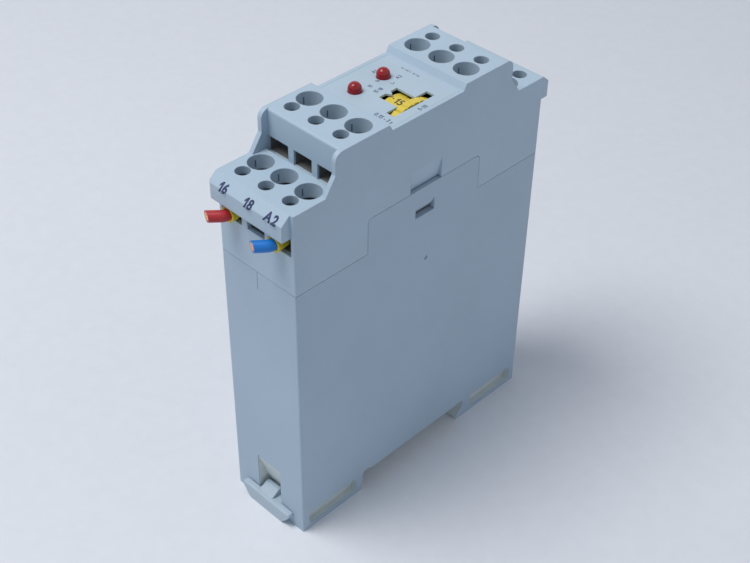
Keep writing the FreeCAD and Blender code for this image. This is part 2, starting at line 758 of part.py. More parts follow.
def makeTimeWheel():
    """Knurled thumb wheel with a number drum beside it and a hub for the axle."""
    body = newBody("time_wheel", y="-wheel_offset", z="wheel_height")
    rim = newSketch(body, "YZ_Plane", "wheel_start")
    disc(rim, "0", "0", "wheel_radius")
    disc(rim, "0", "0", "axle_radius")
    pad(body, rim, "wheel_width")
    drum = newSketch(body, "YZ_Plane", "drum_start")
    disc(drum, "0", "0", "drum_radius")
    disc(drum, "0", "0", "drum_radius-drum_wall")
    pad(body, drum, "wheel_start-drum_start")
    hub = newSketch(body, "YZ_Plane", "drum_start")
    disc(hub, "0", "0", "hub_radius")
    disc(hub, "0", "0", "axle_radius")
    pad(body, hub, "wheel_start-drum_start")
    groove = newSketch(body, "YZ_Plane", "wheel_start-1")
    outline(groove, [
        ("0", "wheel_radius-knurl_depth"),
        ("knurl_depth", "wheel_radius+0.1"),
        ("-knurl_depth", "wheel_radius+0.1"),
    ])
    notch = pocket(body, groove, "wheel_width+2", along=True)
    knurl = body.newObject("PartDesign::PolarPattern", "time_wheel_knurl")
    knurl.Originals = [notch]
    axis = [item for item in body.Origin.OriginFeatures if item.Role == "X_Axis"][0]
    knurl.Axis = (axis, [""])
    knurl.Angle = 360
    bind(knurl, "Occurrences", "knurl_count")
    body.Tip = knurl
    check(knurl)
    return body


def makeWheelAxle():
    """Pin that joins the wheel to the slider inside the setting potentiometer."""
    body = newBody("wheel_axle", y="-wheel_offset", z="wheel_height")
    pin_face = newSketch(body, "YZ_Plane", "-board_face+board_gap")
    disc(pin_face, "0", "0", "axle_radius")
    pad(body, pin_face, "board_face-board_gap+wheel_start+wheel_width")
    return body


def makeWheelPotentiometer():
    """Setting potentiometer on the upright board, bored for the wheel's pin."""
    body = newBody("wheel_potentiometer", y="-wheel_offset", z="wheel_height")
    face = newSketch(body, "YZ_Plane", "-board_face")
    rectangle(face, "-dial_body/2", "dial_body/2", "-dial_body/2", "dial_body/2")
    disc(face, "0", "0", "axle_radius+axle_gap")
    pad(body, face, "dial_thickness")
    return body


def makeLamp(name, place):
    """Three millimetre indicator lamp with a domed lens, a rim and two bent leads."""
    body = newBody(name, x="-lamp_column", y=place, z="lamp_top-lamp_height")
    lens = newSketch(body, "XZ_Plane")
    outline(lens, [
        ("0", "0"),
        ("lamp_rim", "0"),
        ("lamp_rim", "lamp_rim_height"),
        ("lamp_radius", "lamp_rim_height"),
        ("lamp_radius", "lamp_height-lamp_radius"),
        ("0", "lamp_height-lamp_radius"),
    ])
    turn(body, lens)
    dome = newSketch(body, "XZ_Plane")
    middle = FreeCAD.Vector(0, measure("lamp_height-lamp_radius"), 0)
    radius = measure("lamp_radius")
    circle = Part.Circle(middle, FreeCAD.Vector(0, 0, 1), radius)
    crown = middle + FreeCAD.Vector(0, radius, 0)
    edge = middle + FreeCAD.Vector(radius, 0, 0)
    arc = dome.addGeometry(Part.ArcOfCircle(circle, 0, math.pi / 2), False)
    stem = dome.addGeometry(Part.LineSegment(crown, middle), False)
    foot = dome.addGeometry(Part.LineSegment(middle, edge), False)
    for before, spot, after, start in ((arc, 2, stem, 1), (stem, 2, foot, 1), (foot, 2, arc, 1)):
        dome.addConstraint(Sketcher.Constraint("Coincident", before, spot, after, start))
    for item, spot, across, up in ((stem, 1, "0", "lamp_height"),
                                   (foot, 1, "0", "lamp_height-lamp_radius"),
                                   (foot, 2, "lamp_radius", "lamp_height-lamp_radius")):
        pin(dome, "DistanceX", item, spot, across)
        pin(dome, "DistanceY", item, spot, up)
    size = dome.addConstraint(Sketcher.Constraint("Radius", arc, radius))
    dome.setExpression("Constraints[%d]" % size, formula("lamp_radius"))
    turn(body, dome)
    leads = newSketch(body, "XZ_Plane")
    reach = "(board_face-lamp_column)"
    for side, drop in ((-1, "lamp_rim"), (1, "2*lamp_rim")):
        middle = "%d*lead_spread" % side
        outline(leads, [
            (middle + "-lead_wall/2", "0.1"),
            (middle + "-lead_wall/2", "-%s" % drop),
            ("-" + reach, "-%s" % drop),
            ("-" + reach, "-%s-lead_wall" % drop),
            (middle + "+lead_wall/2", "-%s-lead_wall" % drop),
            (middle + "+lead_wall/2", "0.1"),
        ])
    pad(body, leads, "lead_wall", both=True)
    return body


# ---- terminals -----------------------------------------------------------------------------

def makeScrews(name, end, row, top):
    """Row of three clamp screws with crossed slots."""
    body = newBody(name, x="-column_pitch", y="%d*%s" % (end, row), z=top + "-cage_depth")
    head = newSketch(body, "XY_Plane")
    disc(head, "0", "0", "head_radius")
    cap = pad(body, head, "head_height")
    shank = newSketch(body, "XY_Plane")
    polygon(shank, "screw_radius", SHANK_SIDES)
    shaft = pad(body, shank, "strip_depth-cage_depth-thread_gap", back=True)
    cross = newSketch(body, "XY_Plane", "head_height")
    long = "0.75*head_radius"
    wide = "slot_width/2"
    outline(cross, [
        ("-" + long, "-" + wide), ("-" + wide, "-" + wide), ("-" + wide, "-" + long),
        (wide, "-" + long), (wide, "-" + wide), (long, "-" + wide), (long, wide), (wide, wide),
        (wide, long), ("-" + wide, long), ("-" + wide, wide), ("-" + long, wide)])
    slots = pocket(body, cross, "slot_depth")
    repeatColumns(body, [cap, shaft, slots])
    return body


def makeCages(name, end, row, top):
    """Row of three box clamps that their screws draw up against the contact strips."""
    body = newBody(name, x="-column_pitch", y="%d*%s" % (end, row),
                   z=top + "-cage_depth-cage_height")
    frame = newSketch(body, "XZ_Plane")
    rectangle(frame, "-cage_width/2", "cage_width/2", "0", "cage_height")
    rectangle(frame, "-cage_width/2+cage_wall", "cage_width/2-cage_wall",
              "cage_floor", "cage_height-cage_floor")
    box = pad(body, frame, "cage_length", both=True)
    hole = newSketch(body, "XY_Plane", "cage_height")
    polygon(hole, "screw_radius+thread_gap", SHANK_SIDES)
    bore = pocket(body, hole, "2*cage_floor")
    repeatColumns(body, [box, bore])
    return body


def makeStrips(name, end, row, top):
    """Row of three bent contact strips: a tongue through the clamp and a tail to the board."""
    body = newBody(name, x="-column_pitch", y="0", z=top + "-strip_depth")
    inner = "(%s-chamber_side/2+seat_gap)" % row
    tongue = newSketch(body, "YZ_Plane")
    rectangle(tongue, "%d*%s" % (end, inner), "%d*(%s+cage_length/2+strip_wall)" % (end, row),
              "-strip_wall", "0")
    flat = pad(body, tongue, "strip_width", both=True)
    tail = newSketch(body, "XZ_Plane", "%d*%s" % (-end, inner))
    shoulder = "(strip_depth-chamber_depth+3*seat_gap)"
    board = "(seam_height+board_gap+seat_gap-%s+strip_depth)" % top
    outline(tail, [
        ("-tail_width/2", "0"),
        ("tail_width/2", "0"),
        ("tail_width/2", shoulder),
        ("pin_width/2", shoulder),
        ("pin_width/2", board),
        ("-pin_width/2", board),
        ("-pin_width/2", shoulder),
        ("-tail_width/2", shoulder),
    ])
    upright = pad(body, tail, "strip_wall", back=end > 0)
    repeatColumns(body, [flat, upright])
    return body


# ---- boards and their parts ----------------------------------------------------------------

def makeMainBoard():
    """Upright board in the guide ribs, with a tab that rises between the terminal boards."""
    body = newBody("main_board")
    face = newSketch(body, "YZ_Plane", "-board_face-board_wall")
    half = [
        ("housing_length/2-shell_wall-board_gap", "floor_wall+fit_gap"),
        ("housing_length/2-shell_wall-board_gap", "seam_height+board_gap"),
        ("tab_half", "seam_height+board_gap"),
        ("tab_half", "board_tab_top"),
    ]
    mirrored = [("-(%s)" % across, up) for across, up in half]
    outline(face, mirrored + half[::-1])
    pad(body, face, "board_wall")
    return body


def makeTerminalBoard(name, end):
    """Flat board that carries the contact strips of one end."""
    body = newBody(name, z="seam_height+board_gap+seat_gap")
    face = newSketch(body, "XY_Plane")
    rectangle(face, "-housing_width/2+shell_wall+fit_gap", "housing_width/2-shell_wall-fit_gap",
              "%d*shelf_inner" % end, "%d*(housing_length/2-shell_wall-board_gap)" % end)
    for row in ("lower_row", "upper_row"):
        for column in COLUMNS:
            across = "%d*column_pitch" % column
            rectangle(face, across + "-pin_width/2-seat_gap", across + "+pin_width/2+seat_gap",
                      "%d*(%s-pin_start)" % (end, row), "%d*(%s-pin_start+pin_slot)" % (end, row))
    pad(body, face, "board_wall")
    return body


def leg(sketch, across, up):
    """Draw the square end of a lead."""
    rectangle(sketch, across + "-lead_wall/2", across + "+lead_wall/2",
              up + "-lead_wall/2", up + "+lead_wall/2")


def makeRelay():
    """Sealed relay with its row of pins towards the board."""
    body = newBody("sealed_relay", x="-board_face", y="housing_length/2-relay_inset", z="relay_up")
    case = newSketch(body, "YZ_Plane", "stand_off")
    rectangle(case, "-relay_length/2", "relay_length/2", "-relay_width/2", "relay_width/2")
    pad(body, case, "relay_height")
    roundEdges(body, "x", "relay_round", [
        ("-relay_length/2", "-relay_width/2"), ("relay_length/2", "-relay_width/2"),
        ("-relay_length/2", "relay_width/2"), ("relay_length/2", "relay_width/2")])
    pins = newSketch(body, "YZ_Plane")
    for along in ("-0.4*relay_length", "0.25*relay_length", "0.43*relay_length"):
        for side in (-1, 1):
            leg(pins, along, "%d*0.3*relay_width" % side)
    pad(body, pins, "2*stand_off")
    return body


def makeFilmCapacitor():
    """Box capacitor that drops the supply voltage."""
    body = newBody("film_capacitor", x="-board_face", y="-housing_length/2+film_inset", z="film_up")
    case = newSketch(body, "YZ_Plane", "stand_off")
    rectangle(case, "-film_length/2", "film_length/2", "-film_width/2", "film_width/2")
    pad(body, case, "film_height")
    leads = newSketch(body, "YZ_Plane")
    for side in (-1, 1):
        leg(leads, "%d*0.43*film_length" % side, "0")
    pad(body, leads, "2*stand_off")
    return body


def makeSmoothingCapacitors():
    """Two round capacitors side by side."""
    body = newBody("smoothing_capacitors", x="-board_face", y="-housing_length/2+can_inset",
                   z="can_up")
    cans = newSketch(body, "YZ_Plane", "stand_off")
    leads = newSketch(body, "YZ_Plane")
    for across in ("0", "can_spacing"):
        disc(cans, across, "0", "can_radius")
        for side in (-1, 1):
            leg(leads, across, "%d*0.4*can_radius" % side)
    pad(body, cans, "can_height")
    pad(body, leads, "2*stand_off")
    return body


def makeTimingChip():
    """Timing circuit with two rows of legs."""
    body = newBody("timing_chip", x="-board_face", y="housing_length/2-chip_inset", z="chip_up")
    case = newSketch(body, "YZ_Plane", "stand_off")
    rectangle(case, "-chip_length/2", "chip_length/2", "-chip_width/2", "chip_width/2")
    pad(body, case, "chip_height")
    legs = newSketch(body, "YZ_Plane")
    for index in range(CHIP_LEGS):
        middle = "(%d*chip_pitch)" % (index - CHIP_LEGS // 2)
        for side in (-1, 1):
            rectangle(legs, middle + "-lead_wall/2", middle + "+lead_wall/2",
                      "%d*0.9*chip_width/2" % side, "%d*(chip_width/2+lead_wall)" % side)
    pad(body, legs, "stand_off+0.6*chip_height")
    return body


def makeVaristor():
    """Round surge absorber standing on its two leads."""
    body = newBody("varistor", x="-board_face+2*stand_off+disc_radius", y="disc_across", z="disc_up")
    case = newSketch(body, "XZ_Plane")
    disc(case, "0", "0", "disc_radius")
    pad(body, case, "disc_wall", both=True)
    leads = newSketch(body, "XZ_Plane")
    for side in (-1, 1):
        rectangle(leads, "-disc_radius-2*stand_off", "-0.5*disc_radius",
                  "%d*0.5*disc_radius-lead_wall/2" % side,
                  "%d*0.5*disc_radius+lead_wall/2" % side)
    pad(body, leads, "lead_wall", both=True)
    return body


# ---- wire stubs ----------------------------------------------------------------------------

def makeWire(name, side, shift, tip_across):
    """Sweep a cut wire stub from its ferrule round a bend and cut its tip at a slant."""
    body = newBody(name, x="%d*%s" % (side, shift), z="step_height-wire_depth")
    section = newSketch(body, "XZ_Plane", "housing_length/2-wire_inset")
    disc(section, "0", "0", "wire_radius")
    route = newSketch(body, "XY_Plane")
    bend_y = measure("-housing_length/2-collar_mouth-bend_start")
    radius = measure("bend_radius")
    tip_x = "-(%s)" % tip_across
    tip_y = "-housing_length/2-collar_mouth-bend_start-tip_out"
    away = (measure(tip_x) + radius, measure(tip_y) - bend_y)
    run = math.sqrt(away[0] ** 2 + away[1] ** 2 - radius ** 2)
    swing = -math.atan2(away[1], away[0]) - math.atan2(run, radius)
    begin = FreeCAD.Vector(0, bend_y, 0)
    centre = FreeCAD.Vector(-radius, bend_y, 0)
    leave = centre + FreeCAD.Vector(radius * math.cos(swing), -radius * math.sin(swing), 0)
    bend = Part.Circle(centre, FreeCAD.Vector(0, 0, 1), radius)
    root = FreeCAD.Vector(0, measure("-housing_length/2+wire_inset"), 0)
    straight = route.addGeometry(Part.LineSegment(root, begin), False)
    arc = route.addGeometry(Part.ArcOfCircle(bend, -swing, 0), False)
    tip = FreeCAD.Vector(measure(tip_x), measure(tip_y), 0)
    free = route.addGeometry(Part.LineSegment(leave, tip), False)
    route.addConstraint(Sketcher.Constraint("Tangent", straight, 2, arc, 2))
    route.addConstraint(Sketcher.Constraint("Tangent", free, 1, arc, 1))
    pin(route, "DistanceX", straight, 1, "0")
    pin(route, "DistanceY", straight, 1, "-housing_length/2+wire_inset")
    pin(route, "DistanceX", straight, 2, "0")
    pin(route, "DistanceY", straight, 2, "-housing_length/2-collar_mouth-bend_start")
    pin(route, "DistanceX", free, 2, tip_x)
    pin(route, "DistanceY", free, 2, tip_y)
    size = route.addConstraint(Sketcher.Constraint("Radius", arc, radius))
    route.setExpression("Constraints[%d]" % size, formula("bend_radius"))
    sweep = body.newObject("PartDesign::AdditivePipe", name + "_sweep")
    sweep.Profile = section
    sweep.Spine = (route, ["Edge1", "Edge2", "Edge3"])
    check(sweep)
    cut = newSketch(body, "XY_Plane")
    span = "3*wire_radius"
    outline(cut, [
        ("%s-%s" % (tip_x, span), "%s+cut_back+cut_slope*%s" % (tip_y, span)),
        ("%s+%s" % (tip_x, span), "%s+cut_back-cut_slope*%s" % (tip_y, span)),
        ("%s+%s" % (tip_x, span), "%s-%s" % (tip_y, span)),
        ("%s-%s" % (tip_x, span), "%s-%s" % (tip_y, span)),
    ])
    pocket(body, cut, "3*wire_radius", both=True)


def makeCore(name, side, shift):
    """Stripped end of a wire, inside the tube of its ferrule."""
    body = newBody(name, x="%d*%s" % (side, shift), z="step_height-wire_depth")
    strands = newSketch(body, "XZ_Plane", "housing_length/2-wire_inset")
    disc(strands, "0", "0", "core_radius")
    pad(body, strands, "core_inset-wire_inset", back=True)


def makeCollar(name, side, shift):
    """Funnel of the ferrule that takes in the end of the insulation."""
    body = newBody(name, x="%d*%s" % (side, shift), z="step_height-wire_depth")
    mouth = "-housing_length/2-collar_mouth"
    seat = "-housing_length/2+wire_inset"
    half = newSketch(body, "XY_Plane")
    outline(half, [
        ("collar_radius", mouth),
        ("collar_radius-collar_taper", seat),
        ("tube_radius+collar_wall", mouth + "+collar_length"),
        ("tube_radius", mouth + "+collar_length"),
        ("tube_radius", seat),
        ("wire_radius+seat_gap", seat),
        ("wire_radius+seat_gap", mouth),
    ])
    turn(body, half)


def makeTube(name, side, shift):
    """Metal tube of the ferrule, pressed on the strands and held in the clamp."""
    body = newBody(name, x="%d*%s" % (side, shift), z="step_height-wire_depth")
    ring = newSketch(body, "XZ_Plane", "housing_length/2-wire_inset")
    disc(ring, "0", "0", "tube_radius")
    disc(ring, "0", "0", "core_radius")
    pad(body, ring, "tube_length", back=True)


def finishParts():
    """Check every object and write each sub-part to its own file."""
    doc.recompute()
    for item in doc.Objects:
        if "Invalid" in item.State or "Error" in item.State:
            raise ValueError("%s failed: %s" % (item.Label, item.State))
    for part in parts:
        if part.Shape.isNull() or not part.Shape.isValid():
            raise ValueError("%s has no valid shape" % part.Label)
    os.makedirs("parts", exist_ok=True)
    for part in parts:
        part.Shape.exportStep("parts/%s.step" % part.Label)
        print(part.Label, len(part.Shape.Solids), round(part.Shape.Volume, 2))


makeBaseHousing()
makeTopCover()
makeFrontPlate()
makeRailLatch()
makeTimeWheel()
makeWheelAxle()
makeWheelPotentiometer()
makeLamp("near_lamp", "-near_lamp")
makeLamp("far_lamp", "far_lamp")
for endName, end in (("near", NEAR), ("far", FAR)):
    for rowName, row, top in (("lower", "lower_row", "step_height"),
                              ("upper", "upper_row", "block_height")):
        makeScrews("%s_%s_screws" % (endName, rowName), end, row, top)
        makeCages("%s_%s_clamps" % (endName, rowName), end, row, top)
        makeStrips("%s_%s_contacts" % (endName, rowName), end, row, top)
makeMainBoard()
makeTerminalBoard("near_terminal_board", NEAR)
makeTerminalBoard("far_terminal_board", FAR)
makeRelay()
makeFilmCapacitor()
makeSmoothingCapacitors()
makeTimingChip()
makeVaristor()
for sideName, side in (("left", -1), ("right", 1)):
    shift = sideName + "_wire_shift"
    makeWire(sideName + "_wire", side, shift, sideName + "_tip_across")
    makeCore(sideName + "_wire_core", side, shift)
    makeCollar(sideName + "_ferrule_collar", side, shift)
    makeTube(sideName + "_ferrule_tube", side, shift)
finishParts()
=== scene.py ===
import bpy
import bmesh
import math
from mathutils import Matrix, Vector
from mathutils.bvhtree import BVHTree


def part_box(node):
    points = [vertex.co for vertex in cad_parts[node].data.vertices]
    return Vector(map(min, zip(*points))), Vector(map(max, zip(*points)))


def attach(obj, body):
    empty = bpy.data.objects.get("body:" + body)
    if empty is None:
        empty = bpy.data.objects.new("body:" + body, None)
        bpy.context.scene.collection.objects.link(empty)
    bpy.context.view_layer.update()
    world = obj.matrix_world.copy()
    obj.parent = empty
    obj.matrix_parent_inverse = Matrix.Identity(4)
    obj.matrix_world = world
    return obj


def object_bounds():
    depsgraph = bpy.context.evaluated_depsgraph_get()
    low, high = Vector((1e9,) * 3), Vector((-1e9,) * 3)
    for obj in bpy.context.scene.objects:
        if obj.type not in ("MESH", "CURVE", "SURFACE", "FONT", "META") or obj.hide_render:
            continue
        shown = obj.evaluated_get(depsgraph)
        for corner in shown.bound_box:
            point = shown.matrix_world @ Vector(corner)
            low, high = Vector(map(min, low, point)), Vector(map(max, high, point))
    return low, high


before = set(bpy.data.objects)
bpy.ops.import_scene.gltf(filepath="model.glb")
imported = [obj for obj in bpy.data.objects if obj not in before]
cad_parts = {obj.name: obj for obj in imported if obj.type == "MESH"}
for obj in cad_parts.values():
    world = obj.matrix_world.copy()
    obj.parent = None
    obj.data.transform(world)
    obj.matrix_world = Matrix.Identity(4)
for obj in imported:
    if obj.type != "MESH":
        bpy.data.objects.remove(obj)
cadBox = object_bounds()
print("frame loaded,", len(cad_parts), "nodes")
mm = 0.001


def newMaterial(name):
    material = bpy.data.materials.new(name)
    material.use_nodes = True
    tree = material.node_tree
    tree.nodes.clear()
    output = tree.nodes.new("ShaderNodeOutputMaterial")
    shader = tree.nodes.new("ShaderNodeBsdfPrincipled")
    tree.links.new(shader.outputs["BSDF"], output.inputs["Surface"])
    return material, tree, shader


def noise(tree, scale, detail, stretch=(1, 1, 1)):
    place = tree.nodes.new("ShaderNodeTexCoord")
    mapping = tree.nodes.new("ShaderNodeMapping")
    mapping.inputs["Scale"].default_value = stretch
    pattern = tree.nodes.new("ShaderNodeTexNoise")
    pattern.inputs["Scale"].default_value = scale
    pattern.inputs["Detail"].default_value = detail
    tree.links.new(place.outputs["Object"], mapping.inputs["Vector"])
    tree.links.new(mapping.outputs["Vector"], pattern.inputs["Vector"])
    return pattern.outputs["Fac"]


def ramp(tree, factor, reach, tones):
    node = tree.nodes.new("ShaderNodeValToRGB")
    for element, position, tone in zip(node.color_ramp.elements, reach, tones):
        element.position = position
        element.color = (*tone, 1)
    tree.links.new(factor, node.inputs["Fac"])
    return node.outputs["Color"]


def around(colour, low, high):
    # a darker and a lighter tone of one colour
    return [tuple(min(1, channel * amount) for channel in colour) for amount in (low, high)]


def cloudy(tree, look, colour):
    # a colour that varies with a noise pattern
    pattern = noise(tree, look["scale"], look["detail"])
    return ramp(tree, pattern, look["reach"], around(colour, *look["tones"]))


def calculate(tree, operation, first, second=None):
    # one step of arithmetic on a socket, with a number or a second socket
    node = tree.nodes.new("ShaderNodeMath")
    node.operation = operation
    tree.links.new(first, node.inputs[0])
    if isinstance(second, float):
        node.inputs[1].default_value = second
    elif second is not None:
        tree.links.new(second, node.inputs[1])
    return node.outputs[0]


def addRelief(tree, shader, height, distance, edge=0.0, bevelRays=6):
    # fine surface relief, with softened edges under it
    bump = tree.nodes.new("ShaderNodeBump")
    bump.inputs["Strength"].default_value = 1.0
    bump.inputs["Distance"].default_value = distance
    tree.links.new(height, bump.inputs["Height"])
    if edge:
        bevel = tree.nodes.new("ShaderNodeBevel")
        bevel.samples = bevelRays
        bevel.inputs["Radius"].default_value = edge
        tree.links.new(bevel.outputs["Normal"], bump.inputs["Normal"])
    tree.links.new(bump.outputs["Normal"], shader.inputs["Normal"])


# colour, roughness and softened edge of each moulding; "inside" lists the mirrored boxes
# of its hollow (half width, start, end and top), which show the painted hollow tone,
# a colour that stands in for the light and shade in there
plasticFinish = {
    # its hollow tone is painted light: lighter and greener in the foot grooves and the latch
    # opening, where light reaches
    "moulded grey": {"colour": (0.425, 0.535, 0.640), "roughness": 0.50, "edge": 0.25,
                     "inside": [(11.1, 0.0, 37.05, 12.5)], "inner": (0.640, 0.700, 0.690)},
    # its hollow tone is painted shade: dark brown deep in the windows, the chambers and under the
    # lip
    "cover grey": {"colour": (0.440, 0.560, 0.660), "roughness": 0.48, "edge": 0.25,
                   "inside": [(10.3, 0.0, 23.8, 90.9), (10.3, 24.0, 36.2, 81.9),
                              (10.3, 18.8, 22.6, 92.7), (10.3, 32.3, 36.2, 83.7)],
                   "inner": (0.170, 0.166, 0.158)},
    "plate grey": {"colour": (0.460, 0.575, 0.660), "roughness": 0.55, "edge": 0.05},
    "latch grey": {"colour": (0.450, 0.550, 0.630), "roughness": 0.42, "edge": 0.25},
    "dial yellow": {"colour": (0.760, 0.590, 0.070), "roughness": 0.42, "edge": 0.12},
    "collar yellow": {"colour": (0.700, 0.560, 0.035), "roughness": 0.42, "edge": 0.10},
    "cable red": {"colour": (0.460, 0.024, 0.031), "roughness": 0.38, "edge": 0.12},
    "cable blue": {"colour": (0.010, 0.190, 0.620), "roughness": 0.38, "edge": 0.12},
    "case black": {"colour": (0.030, 0.031, 0.034), "roughness": 0.48, "edge": 0.20},
    "case blue": {"colour": (0.040, 0.120, 0.340), "roughness": 0.35, "edge": 0.20},
}
plasticLook = {
    "clouds": {"scale": 45, "detail": 4, "reach": (0.30, 0.70), "tones": (0.965, 1.03)},
    "grain": {"scale": 2600, "detail": 2, "reach": (0.25, 0.75), "tones": (0.95, 1)},
    "relief": {"scale": 5200, "detail": 2, "depth": 0.008},     # of a spark-eroded mould
    "refraction": 1.5,
    "specular": 0.40,
}
mixSockets = {"first": 6, "second": 7, "result": 2}             # where a Mix node has its colours


def paintedHollowMask(tree, boxes):
    # one inside any of the mirrored boxes, nought outside: the mask of the painted light and
    # shade in hollows
    place = tree.nodes.new("ShaderNodeTexCoord")
    split = tree.nodes.new("ShaderNodeSeparateXYZ")
    tree.links.new(place.outputs["Object"], split.inputs[0])
    across = calculate(tree, "ABSOLUTE", split.outputs[0])
    along = calculate(tree, "ABSOLUTE", split.outputs[1])
    found = None
    for halfWidth, start, end, top in boxes:
        box = calculate(tree, "LESS_THAN", across, halfWidth * mm)
        for test in (calculate(tree, "LESS_THAN", along, end * mm),
                     calculate(tree, "GREATER_THAN", along, start * mm),
                     calculate(tree, "LESS_THAN", split.outputs[2], top * mm)):
            box = calculate(tree, "MULTIPLY", box, test)
        found = calculate(tree, "MAXIMUM", found, box) if found else box
    return found


def newMix(tree, blend):
    node = tree.nodes.new("ShaderNodeMix")
    node.data_type = "RGBA"
    node.blend_type = blend
    return node


def makePlastic(name, finish):
    # slow clouds of tone, a fine pigment grain and the relief of the mould
    material, tree, shader = newMaterial(name)
    clouds = cloudy(tree, plasticLook["clouds"], finish["colour"])
    grain = cloudy(tree, plasticLook["grain"], (1, 1, 1))
    mix = newMix(tree, "MULTIPLY")
    mix.inputs["Factor"].default_value = 1.0
    tree.links.new(clouds, mix.inputs[mixSockets["first"]])
    tree.links.new(grain, mix.inputs[mixSockets["second"]])
    tone = mix.outputs[mixSockets["result"]]
    # painted light and shade in the hollows, in place of the moulding's colour
    if "inside" in finish:
        mix = newMix(tree, "MIX")
        tree.links.new(paintedHollowMask(tree, finish["inside"]), mix.inputs["Factor"])
        tree.links.new(tone, mix.inputs[mixSockets["first"]])
        mix.inputs[mixSockets["second"]].default_value = (*finish["inner"], 1)
        tone = mix.outputs[mixSockets["result"]]
    tree.links.new(tone, shader.inputs["Base Color"])
    shader.inputs["Roughness"].default_value = finish["roughness"]
    shader.inputs["IOR"].default_value = plasticLook["refraction"]
    shader.inputs["Specular IOR Level"].default_value = plasticLook["specular"]
    relief = plasticLook["relief"]
    height = noise(tree, relief["scale"], relief["detail"])
    addRelief(tree, shader, height, relief["depth"] * mm, finish["edge"] * mm)
    return material


def metal(colour, roughness, stretch):
    return {"scale": 2500, "detail": 3, "stretch": stretch, "reach": (0.25, 0.75),
            "tones": around(colour, 0.82, 1.08), "depth": 0.008, "edge": 0.1,
            "sockets": {"Metallic": 1.0, "Roughness": roughness}}


def ink(colour):
    return {"scale": 3200, "detail": 3, "reach": (0.30, 0.62), "tones": around(colour, 1, 1.7),
            "depth": 0.006, "sockets": {"Roughness": 0.55}}


# finishes with one pattern for both tone and relief
patternFinish = {
    "zinc steel": metal((0.62, 0.62, 0.60), 0.36, (1, 8, 1)),
    "tinned brass": metal((0.70, 0.68, 0.62), 0.30, (6, 1, 1)),
    "copper": metal((0.80, 0.42, 0.24), 0.32, (1, 10, 1)),
    "lens red": {"scale": 600, "detail": 2, "reach": (0.3, 0.7), "depth": 0.003,
                 "tones": around((0.31, 0.003, 0.009), 0.85, 1.1),
                 "sockets": {"Roughness": 0.14, "IOR": 1.5, "Specular IOR Level": 0.35}},
    "circuit board": {"scale": 1600, "detail": 2, "stretch": (1, 1, 0.2), "reach": (0.3, 0.7),
                      "tones": [(0.012, 0.085, 0.035), (0.022, 0.13, 0.055)], "depth": 0.01,
                      "sockets": {"Roughness": 0.34}},
    "navy ink": ink((0.012, 0.022, 0.075)),
    "grey ink": ink((0.045, 0.062, 0.125)),
    "shadow grey": ink((0.080, 0.096, 0.120)),
    "black ink": ink((0.035, 0.030, 0.020)),
}


def makePatterned(name, finish):
    material, tree, shader = newMaterial(name)
    pattern = noise(tree, finish["scale"], finish["detail"], finish.get("stretch", (1, 1, 1)))
    tone = ramp(tree, pattern, finish["reach"], finish["tones"])
    tree.links.new(tone, shader.inputs["Base Color"])
    for socket, setting in finish["sockets"].items():
        shader.inputs[socket].default_value = setting
    addRelief(tree, shader, pattern, finish["depth"] * mm, finish.get("edge", 0) * mm)
    return material


finishes = {name: makePlastic(name, finish) for name, finish in plasticFinish.items()}
finishes.update({name: makePatterned(name, finish) for name, finish in patternFinish.items()})

wornBy = {
    "moulded grey": ["base_housing"],
    "cover grey": ["top_cover"],
    "plate grey": ["front_plate"],
    "latch grey": ["rail_latch"],
    "dial yellow": ["time_wheel"],
    "collar yellow": ["left_ferrule_collar", "right_ferrule_collar"],
    "cable red": ["left_wire"],
    "cable blue": ["right_wire"],
    "case black": ["sealed_relay", "timing_chip", "smoothing_capacitors", "wheel_axle"],
    "case blue": ["film_capacitor", "varistor", "wheel_potentiometer"],
    "lens red": ["near_lamp", "far_lamp"],
    "circuit board": ["main_board", "near_terminal_board", "far_terminal_board"],
    "copper": ["left_wire_core", "right_wire_core"],
    "tinned brass": ["left_ferrule_tube", "right_ferrule_tube"],
    "zinc steel": [],
}
for end in ("near", "far"):
    for row in ("lower", "upper"):
        wornBy["zinc steel"] += [f"{end}_{row}_screws", f"{end}_{row}_clamps"]
        wornBy["tinned brass"].append(f"{end}_{row}_contacts")
for finish, nodes in wornBy.items():
    for node in nodes:
        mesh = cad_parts[node].data
        mesh.materials.clear()
        mesh.materials.append(finishes[finish])
print("finishes on the nodes")


def finishPiece(name, mesh, finish, body):
    piece = bpy.data.objects.new(name, mesh)
    bpy.context.scene.collection.objects.link(piece)
    mesh.materials.clear()
    mesh.materials.append(finishes[finish])
    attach(piece, body)


def nodeTree(name):
    # triangles of a CAD node, for finding points on its surface
    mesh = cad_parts[name].data
    corners = [vertex.co.copy() for vertex in mesh.vertices]
    return BVHTree.FromPolygons(corners, [tuple(face.vertices) for face in mesh.polygons])


def surfaceBelow(tree, across, along):
    # place and normal of the surface seen from straight above
    return tree.ray_cast(Vector((across, along, 200 * mm)), Vector((0, 0, -1)))[:2]


lettering = {                # in shares of the type's size
    "gap": 0.08,             # between characters
    "space": 0.25,           # for an empty place
    "curveSteps": 3,
    "flagLap": 0.02,         # of the one's flag into its stem
    "flagDrops": (1.3, 2.3, 1.5),    # of the flag's other corners, in widths of the stem
}


def characterMesh(character, weight):
    # one flat character of the plain typeface, with its left edge at zero
    curve = bpy.data.curves.new("letters", "FONT")
    curve.body = character
    curve.size = 1.0
    curve.offset = weight
    curve.resolution_u = lettering["curveSteps"]
    holder = bpy.data.objects.new("letters", curve)
    bpy.context.scene.collection.objects.link(holder)
    bpy.context.view_layer.update()
    mesh = bpy.data.meshes.new_from_object(holder)
    bpy.data.objects.remove(holder)
    left = min(vertex.co.x for vertex in mesh.vertices)
    mesh.transform(Matrix.Translation((-left, 0, 0)))
    return mesh


